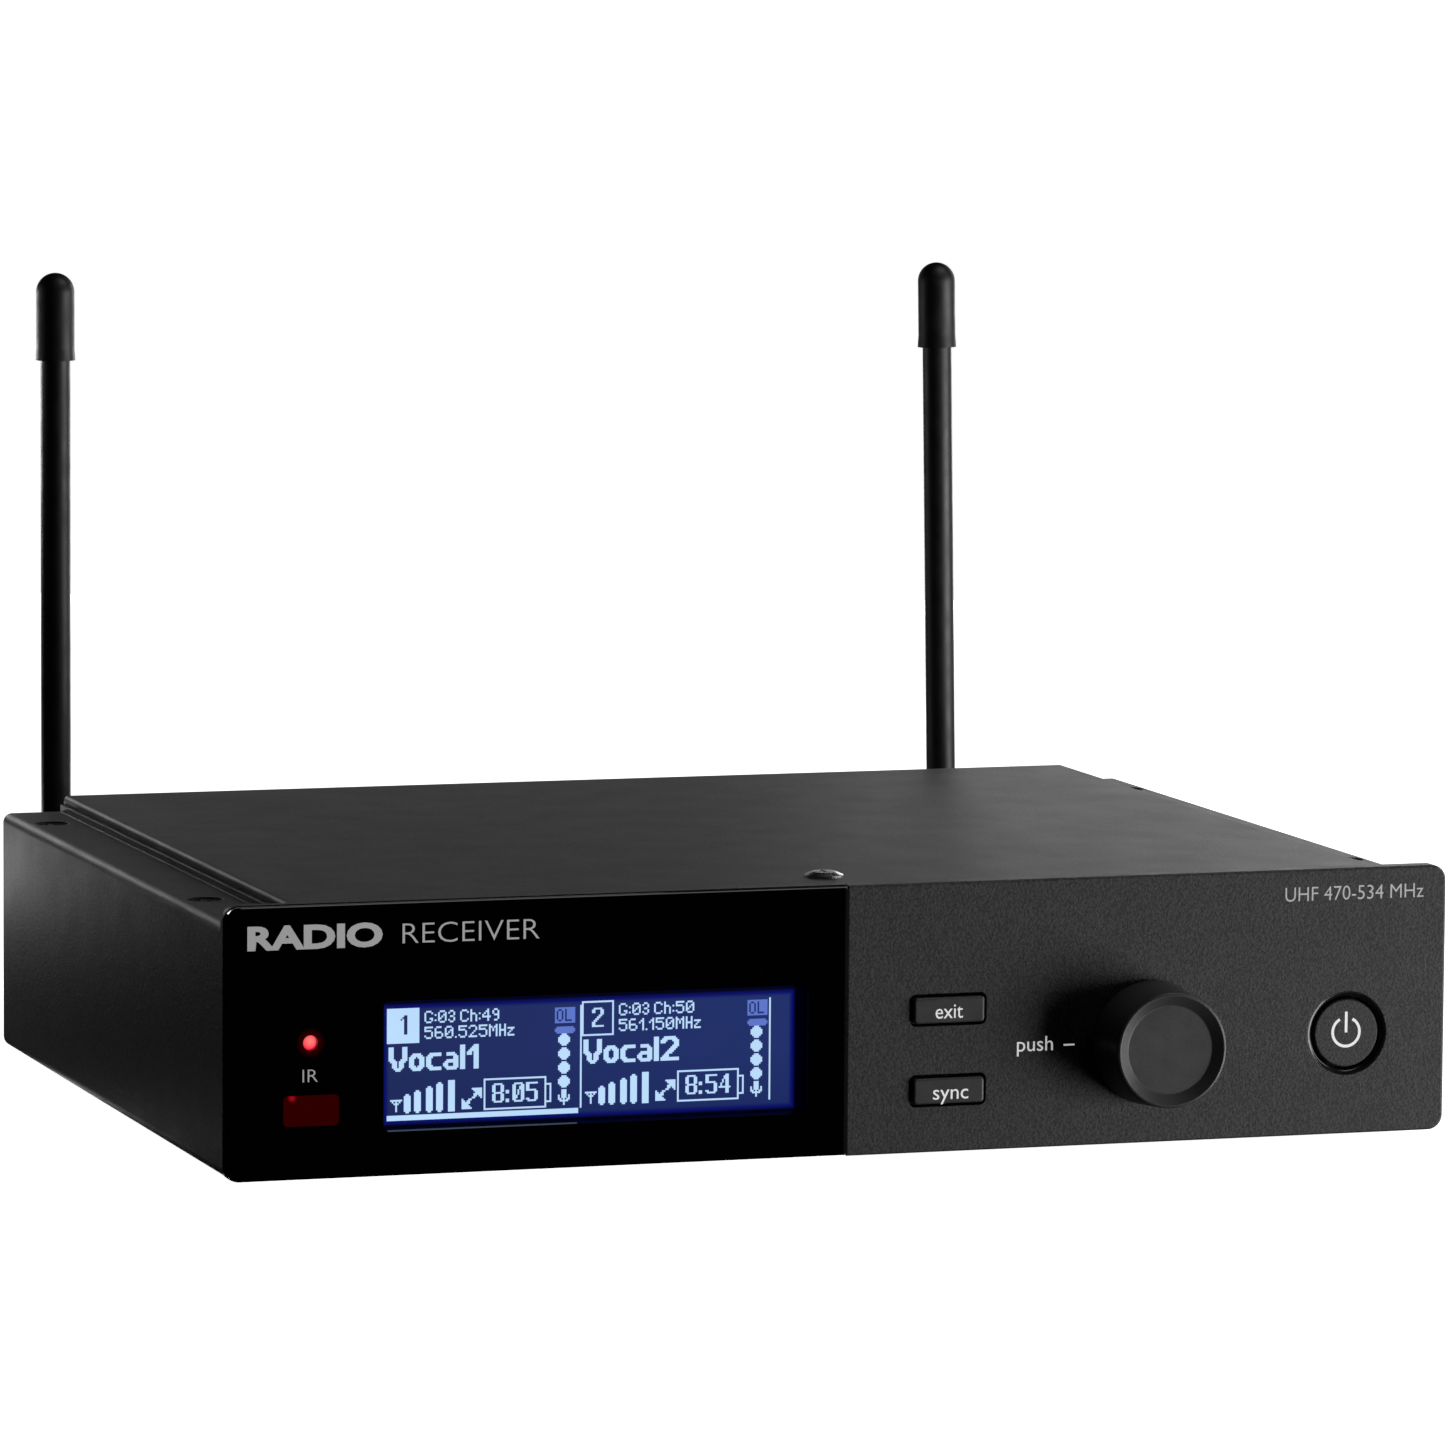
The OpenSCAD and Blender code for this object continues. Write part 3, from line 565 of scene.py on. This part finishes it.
def pane_lit(number, channel, frequency, name, charge, chosen):
    """The bright cells of one receiver's half of the display."""
    digit, width = words(number, BIG_DIGITS)
    digit = moved(digit, 10 - (width + 1) // 2, 4)
    if chosen:
        box = area(0, 0, BOX_RIGHT, BOX_LOW) - digit
    else:
        box = outline(0, 0, BOX_RIGHT, BOX_LOW) | digit
    cells = box | strength_bars() | link_arrow(44, 47, 12) | battery(charge)
    cells |= moved(words(channel)[0], 22, 2) | moved(words(frequency)[0], 22, 11)
    cells |= moved(bolder(doubled(words(name)[0])), 1, 22)
    cells |= stamp(AERIAL, 2, 52) | stamp(MICROPHONE, METER_LEFT, 50)
    for i in range(4):
        cells |= disc(METER_LEFT, 18 + 8 * i, 7)
    if chosen:
        return cells | area(0, 61, 112, 63) | area(114, 2, 114, 60)
    return cells | area(112, 2, 112, 60)


def pane_dim():
    """The unlit overload badge and meter segment, which show faintly."""
    badge = area(99, 3, 110, 11) - moved(words("OL")[0], 100, 4)
    pill = area(99, 14, 110, 17) - {(99, 14), (110, 14), (99, 17), (110, 17)}
    return badge | pill


def runs(cells):
    """Cells gathered into (first column, last column, row) along each row."""
    found = []
    for col, row in sorted(cells, key=lambda cell: (cell[1], cell[0])):
        if found and found[-1][2] == row and found[-1][1] == col - 1:
            found[-1][1] = col
        else:
            found.append([col, col, row])
    return found


def slab(bm, low, high):
    """A closed thin block between two corners."""
    made = bmesh.ops.create_cube(bm, size=1)
    size = high - low
    for v in made["verts"]:
        v.co = low + Vector(((v.co.x + 0.5) * size.x, (v.co.y + 0.5) * size.y,
                             (v.co.z + 0.5) * size.z))


def dots(name, cells, material, proud):
    """One piece with a thin slab for each run of lit cells, just in front of the glass."""
    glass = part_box("lcd_glass")[0].y
    bm = bmesh.new()
    for first, last, row in runs(cells):
        low = spot(DOTS_LEFT + first * DOT, 0, DOTS_TOP - (row + 1) * DOT)
        high = spot(DOTS_LEFT + (last + 1) * DOT, 0, DOTS_TOP - row * DOT)
        low.y, high.y = glass - proud * MM, glass - 0.004 * MM
        slab(bm, low, high)
    add_piece(name, finished(bm, name), "case", material)


def lit_dot(name, colour, strength):
    """A lit cell of the display, a little uneven across its width."""
    s = Shader(name, colour=tuple(c * 0.1 for c in colour), rough=0.4, Specular_IOR_Level=0.1)
    uneven = s.span(s.noise(12, 2), 0, 1)
    s.set("Emission Color", s.blend(uneven, tuple(c * 0.93 for c in colour), colour))
    s.set("Emission Strength", strength)
    return s.material


def lcd_cover():
    """Backlit blue field of the display, deeper blue where the light leaks at its rim."""
    s = Shader("lcd_blue_field", rough=0.16, Specular_IOR_Level=0.25)
    place = s.node("ShaderNodeSeparateXYZ")
    s.link(s.where, place.inputs[0])
    left, top = spot(DOTS_LEFT, 0, DOTS_TOP).x, spot(0, 0, DOTS_TOP).z
    right, low = left + DOTS_X * DOT * MM, top - DOTS_Z * DOT * MM

    def inside(axis, edge, way):
        """How far inside one edge of the field, in millimetres."""
        gap = s.math("SUBTRACT", place.outputs[axis], edge)
        return s.math("MULTIPLY", gap, way / MM)

    across = s.math("MINIMUM", inside("X", left, 1), inside("X", right, -1))
    upright = s.math("MINIMUM", inside("Z", low, 1), inside("Z", top, -1))
    depth = s.math("MINIMUM", across, upright)
    sideways = s.span(inside("X", left, 1), 0, 1, 0, 62)
    field = s.blend(sideways, (0.0155, 0.0255, 0.11), (0.0155, 0.03, 0.15))
    field = s.blend(s.span(inside("Z", low, 1), 0.4, 0, 0, 9), field, (0.004, 0.013, 0.08))
    field = s.blend(s.span(s.noise(16, 2), 0, 0.2), field, (0.012, 0.024, 0.1))
    rim = s.blend(s.span(depth, 0, 1, -0.2, 0.35), (0.002, 0.004, 0.13), field)
    s.set("Emission Color", s.blend(s.span(depth, 0, 1, -0.75, -0.3), (0.0, 0.0, 0.004), rim))
    s.set("Emission Strength", 1.0)
    s.set("Base Color", s.blend(s.noise(2, 2), (0.004, 0.005, 0.012), (0.006, 0.007, 0.016)))
    return s.material


def display():
    """Both halves of the display: the lit cells, and the faint ones behind the badges."""
    left = pane_lit("1", "G:03 Ch:49", "560.525MHz", "Vocal1", "8:05", True)
    right = pane_lit("2", "G:03 Ch:50", "561.150MHz", "Vocal2", "8:54", False)
    bright = lit_dot("lcd_dot_bright", (0.5, 0.72, 0.98), 1.0)
    dim = lit_dot("lcd_dot_dim", (0.114, 0.185, 0.6), 1.0)
    dots("display_dots_1", left, bright, 0.03)
    dots("display_dots_2", moved(right, PANE, 0), bright, 0.03)
    dots("display_badge_1", pane_dim(), dim, 0.025)
    dots("display_badge_2", moved(pane_dim(), PANE, 0), dim, 0.025)


# ---------------------------------------------------------------- lettering
CAP_HEIGHT = 0.682  # of the built-in letters, for a size of 1
LETTER_RISE = 0.012 * MM  # how far letters stand in front of what they are printed on
LETTER_HALF = 0.01 * MM  # half their thickness
STRIP_RISE, STRIP_SINK = 0.02 * MM, 0.01 * MM  # the same for printed strokes


def letters(name, text, height, material):
    """Letters whose capitals are height millimetres tall."""
    curve = bpy.data.curves.new(name, "FONT")
    curve.body = text
    curve.size = height * MM / CAP_HEIGHT
    curve.extrude = LETTER_HALF
    curve.materials.append(material)
    return curve


def label(name, text, body, material, left, right, base, height, front, bold=0.0):
    """A line of letters from left to right on the panel. height is that of its capitals."""
    curve = letters(name, text, height, material)
    curve.offset = bold * MM
    curve.resolution_u = 4
    piece = placed(name, curve)
    bpy.context.view_layer.update()
    xs = [corner[0] for corner in piece.bound_box]
    stretch = (right - left) * MM / (max(xs) - min(xs))
    piece.rotation_euler = (math.pi / 2, 0, 0)
    piece.scale = (stretch, 1, 1)
    place = spot(left, 0, base)
    piece.location = (place.x - min(xs) * stretch, front - LETTER_RISE, place.z)
    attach(piece, body)


def front_lettering():
    """Every line of letters on the front: left end, right end, base line, capitals' height."""
    grey = ink("ink_grey", (0.5, 0.5, 0.5), 0.3)
    white = ink("ink_white", (0.8, 0.8, 0.8), 0.5)
    panel = PANEL.y
    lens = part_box("display_lens")[0].y
    label("legend_radio", "RADIO", "case", grey, 3.4, 24.4, 35.3, 3.3, lens, 0.2)
    label("legend_receiver", "RECEIVER", "case", grey,
          27.5, 49.0, 35.4, 3.1, lens, -0.06)
    label("legend_infrared", "IR", "case", grey,
          11.96, 14.35, 14.95, 1.95, lens, -0.03)
    label("legend_exit", "exit", "exit_key", white,
          112.3, 116.75, 20.85, 2.25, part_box("exit_button")[0].y)
    label("legend_sync", "sync", "sync_key", white,
          112.0, 117.75, 8.3, 2.25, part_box("sync_button")[0].y)
    label("legend_push", "push", "case", white, 125.9, 131.8, 15.1, 2.25, panel)
    label("legend_band", "UHF 470-534 MHz", "case", grey,
          170.0, 193.15, 36.85, 2.2, panel, -0.02)


def strip_mesh(name, points, half, front):
    """A flat closed strip along points, half as wide each way, printed on a face at front."""
    low_y, high_y = front - STRIP_RISE, front + STRIP_SINK
    bm = bmesh.new()
    rings = []
    for i, p in enumerate(points):
        ahead = points[min(i + 1, len(points) - 1)] - points[max(i - 1, 0)]
        side = Vector((-ahead.z, 0, ahead.x)).normalized() * half
        corners = []
        for offset, y in ((side, low_y), (-side, low_y), (-side, high_y), (side, high_y)):
            corner = p + offset
            corners.append(bm.verts.new((corner.x, y, corner.z)))
        rings.append(corners)
    for a, b in zip(rings, rings[1:]):
        for k in range(4):
            bm.faces.new((a[k], a[(k + 1) % 4], b[(k + 1) % 4], b[k]))
    bm.faces.new(rings[0][::-1])
    bm.faces.new(rings[-1])
    bmesh.ops.recalc_face_normals(bm, faces=bm.faces)
    return finished(bm, name)


def power_symbol():
    """The usual open ring and stroke, printed on the power button's cap."""
    centre = middle("power_button")
    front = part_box("power_button")[0].y
    white = bpy.data.materials["ink_white"]
    radius, half, lift = 2.25, 0.22, 0.15
    first, last, step = -242, 62, 8  # the ring's ends and the turn between its points, in degrees
    turn = [math.radians(a) for a in range(first, last + 1, step)]
    ring = [centre + Vector((math.cos(a) * radius, 0, math.sin(a) * radius + lift)) * MM
            for a in turn]
    stroke = [centre + Vector((0, 0, z)) * MM for z in (0.07, 3.33)]
    for name, points in (("power_mark_ring", ring), ("power_mark_stroke", stroke)):
        mesh = strip_mesh(name, points, half * MM, front)
        add_piece(name, mesh, "power_key", white)


def push_dash():
    """The short stroke after the knob's legend."""
    left, right, height, half = 133.55, 135.35, 15.85, 0.14
    points = [spot(x, 0, height) for x in (left, right)]
    mesh = strip_mesh("legend_dash", points, half * MM, PANEL.y)
    add_piece("legend_dash", mesh, "case", bpy.data.materials["ink_white"])


def gap_shade_black():
    """Dull near-black finish of the bead at the lens's edge; its colour is painted shade for the
    dark gap line there.
    """
    s = Shader("gap_shade_black", Specular_IOR_Level=0.1)
    grain = s.noise(0.5, 3)
    # painted shade: the near-black colour stands for the shade in the gap between lens and panel
    s.set("Base Color", s.blend(grain, (0.0006, 0.0006, 0.0006), (0.002, 0.002, 0.002)))
    s.set("Roughness", s.span(grain, 0.6, 0.8))
    s.bump(grain, 0.01, 0.3)
    return s.material


def lens_gap_shade_bead():
    """A near-black bead over the lens's edge beside the panel's matt half: painted shade that
    stands for the dark gap line there, and that hides the edge's highlight.
    """
    low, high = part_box("display_lens")
    over_lens, over_gap, short = 0.45 * MM, 0.15 * MM, 0.3 * MM
    left, right = high.x - over_lens, high.x + over_gap
    # share of the bead's width, and millimetres behind the lens's face
    profile = [(0, 0.3), (0, -0.002), (0.3, -0.012), (0.7, -0.012), (1, 0.004), (1, 0.3)]
    bm = bmesh.new()
    lower, upper = (
        [bm.verts.new((left + (right - left) * across, low.y + deep * MM, z))
         for across, deep in profile]
        for z in (low.z + short, high.z - short)
    )
    prism(bm, lower, upper)
    bmesh.ops.recalc_face_normals(bm, faces=bm.faces)
    add_piece("lens_gap_shade_bead", finished(bm, "lens_gap_shade_bead"), "case", gap_shade_black())


# ---------------------------------------------------------------- rear details
REAR_CAPITALS = 2.2  # height of the rear lettering, in millimetres


def rear_label(name, text, x, z):
    """Centred letters on the rear panel, read from behind."""
    curve = letters(name, text, REAR_CAPITALS, bpy.data.materials["ink_grey"])
    curve.align_x = "CENTER"
    piece = placed(name, curve)
    piece.rotation_euler = (math.pi / 2, 0, math.pi)
    piece.location = (x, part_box("rear_panel")[1].y + LETTER_RISE, PANEL.z + z * MM)
    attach(piece, "case")


def rear_lettering():
    """A label above each socket."""
    for i in (1, 2):
        rear_label(f"legend_out_{i}", f"OUT {i}", middle(f"trs_jack_{i}").x, 29)
    rear_label("legend_network", "NETWORK", middle("ethernet_jack").x, 26)
    rear_label("legend_power_in", "12 V DC", middle("dc_inlet").x, 26)
    for side, letter in (("left", "B"), ("right", "A")):
        x = middle(f"bnc_jack_{side}").x
        rear_label(f"legend_aerial_{letter}", f"ANT {letter}", x, 33)


def ring_grip(side):
    """Fine ridges around a bayonet ring's front part."""
    centre = middle(f"coupling_ring_{side}")
    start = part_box(f"coupling_ring_{side}")[0].y
    count, root, crest = 36, 7.15, 7.5
    half_root, half_crest = 0.055, 0.025  # half a ridge's width as an angle
    first, last = 1.2, 7.0  # where the ridges begin and end behind the ring's front
    outline_points = ((-half_root, root), (-half_crest, crest), (half_crest, crest),
                      (half_root, root))
    bm = bmesh.new()
    for i in range(count):
        a = 2 * math.pi * i / count
        front, back = (
            [bm.verts.new((centre.x + math.cos(a + turn) * r * MM, start + y * MM,
                           centre.z + math.sin(a + turn) * r * MM))
             for turn, r in outline_points]
            for y in (first, last)
        )
        prism(bm, front, back)
    bmesh.ops.recalc_face_normals(bm, faces=bm.faces)
    name = f"ring_grip_{side}"
    add_piece(name, finished(bm, name), f"ring_{side}",
              bpy.data.materials["nickel_plate"])


# ---------------------------------------------------------------- finish of the CAD nodes
FINISHES = (
    powder_coat, bezel_matte, lens_black, lcd_cover, display_light, led_red, ir_red,
    control_black, recess_gloss, antenna_black, foot_rubber, zinc_steel, dark_steel, nickel,
    gold_contact, connector_black, insulator_white, board_green, cable_white,
)


def dress_nodes():
    """Gives each CAD node the material made for the slot it came with."""
    made = {finish.__name__: finish() for finish in FINISHES}
    for o in nodes.values():
        for i, plain in enumerate(o.data.materials):
            o.data.materials[i] = made[plain.name.split(".")[0]]


# ---------------------------------------------------------------- stage, light and camera
FLOOR_RADIUS = 14  # metres


def floor():
    """A wide pale floor, lit evenly so that it melts into the background."""
    bm = bmesh.new()
    bmesh.ops.create_circle(bm, cap_ends=True, segments=96, radius=FLOOR_RADIUS)
    mesh = finished(bm, "floor")
    piece = placed("floor", mesh)
    s = Shader("floor_pale", rough=0.9, Specular_IOR_Level=0.1)
    s.set("Base Color", s.blend(s.noise(60, 2), (0.9, 0.9, 0.9), (0.93, 0.93, 0.93)))
    s.set("Emission Color", (1, 1, 1, 1))
    s.set("Emission Strength", 1.0)
    mesh.materials.append(s.material)
    piece.visible_glossy = False
    piece.visible_diffuse = False
    piece.visible_shadow = False


MIDDLE = (0.0, 0.0, 0.03)  # where most lamps aim
LEFT_BEND = (-0.09, 0.02, 0.04)  # and the two that light the case's left bend
BULB_RADIUS = 0.004


def add_lamp(name, kind, place, power):
    """A lamp that the camera does not see, and its object."""
    lamp = bpy.data.lights.new(name, kind)
    lamp.energy = power
    o = placed(name, lamp)
    o.location = place
    o.visible_camera = False
    return lamp, o


def soft_box(name, place, aim, width, height, power):
    """A soft rectangular lamp at place that faces aim."""
    lamp, o = add_lamp(name, "AREA", place, power)
    lamp.shape = "RECTANGLE"
    lamp.size, lamp.size_y = width, height
    o.rotation_euler = (Vector(aim) - Vector(place)).to_track_quat("-Z", "Y").to_euler()


def small_lamp(name, place, power):
    """A small round lamp close to the object."""
    lamp, _ = add_lamp(name, "POINT", place, power)
    lamp.shadow_soft_size = BULB_RADIUS


def surroundings(for_camera, for_light, for_gloss):
    """An even pale room: white behind the object, dimmer where it lights and mirrors."""
    world = bpy.data.worlds.new("room")
    world.use_nodes = True
    tree = world.node_tree
    ray = tree.nodes.new("ShaderNodeLightPath")
    lit = tree.nodes["Background"]

    def pick(flag, no, yes):
        made = tree.nodes.new("ShaderNodeMix")
        tree.links.new(flag, made.inputs["Factor"])
        for target, value in zip([s for s in made.inputs if s.type == "VALUE"][1:3], (no, yes)):
            if isinstance(value, bpy.types.NodeSocket):
                tree.links.new(value, target)
            else:
                target.default_value = value
        return made.outputs[0]

    unseen = pick(ray.outputs["Is Glossy Ray"], for_light, for_gloss)
    strength = pick(ray.outputs["Is Camera Ray"], unseen, for_camera)
    tree.links.new(strength, lit.inputs["Strength"])
    lit.inputs["Color"].default_value = (1, 1, 1, 1)
    bpy.context.scene.world = world


def lights():
    """A soft key at the right and a fill above, edge lights at the right and behind, a light for
    the rear panel, and four weak lamps close to the left side. The powers, and the places of the
    two small lamps, were fitted to the tones of the front view and then rounded."""
    soft_box("key_right", (0.6, -0.45, -0.12), MIDDLE, 0.4, 0.4, 4.1)
    soft_box("fill_above", (0.25, -0.1, 0.6), MIDDLE, 0.33, 0.33, 0.75)
    soft_box("rim_right_rear", (0.45, 0.45, 0.15), MIDDLE, 0.3, 0.3, 0.58)
    soft_box("edge_right_rear", (0.25, 0.35, 0.12), MIDDLE, 0.2, 0.2, 0.185)
    soft_box("edge_rear", (0.0, 0.4, 0.12), MIDDLE, 0.25, 0.25, 0.052)
    soft_box("strip_right_end", (0.3, -0.05, 0.08), MIDDLE, 0.15, 0.15, 0.33)
    soft_box("rear_panel_light", (0.25, 0.75, -0.15), MIDDLE, 0.5, 0.4, 3.0)
    soft_box("bend_left", (-0.13, 0.2, 0.1), LEFT_BEND, 0.04, 0.04, 0.052)
    soft_box("bend_left_near", (-0.15, 0.12, 0.12), LEFT_BEND, 0.04, 0.04, 0.0062)
    small_lamp("graze_left_rear", (-0.1152, 0.1571, 0.0207), 0.031)
    small_lamp("graze_left_low", (-0.105, 0.0553, -0.0159), 0.006)


SENSOR, LENS = 36, 216.2417  # width and focal length, in millimetres


def camera():
    """From the left front, a little above, through a long lens; fitted to the front view."""
    yaw, pitch, roll = math.radians(18.097), math.radians(6.31), math.radians(0.388)
    data = bpy.data.cameras.new("camera")
    data.sensor_width = SENSOR
    data.lens = LENS
    data.clip_start, data.clip_end = 0.1, 60
    o = placed("camera", data)
    turn = (Matrix.Rotation(-yaw, 4, "Z") @ Matrix.Rotation(math.pi / 2 - pitch, 4, "X")
            @ Matrix.Rotation(roll, 4, "Z"))
    o.matrix_world = Matrix.Translation((-0.42704, -1.32615, 0.21331)) @ turn
    bpy.context.scene.camera = o


dress_nodes()
display()
front_lettering()
push_dash()
power_symbol()
lens_gap_shade_bead()
rear_lettering()
for side in ("left", "right"):
    ring_grip(side)
floor()
surroundings(for_camera=1.0, for_light=0.01, for_gloss=0.001)
lights()
camera()
bpy.context.scene.view_settings.view_transform = "Standard"
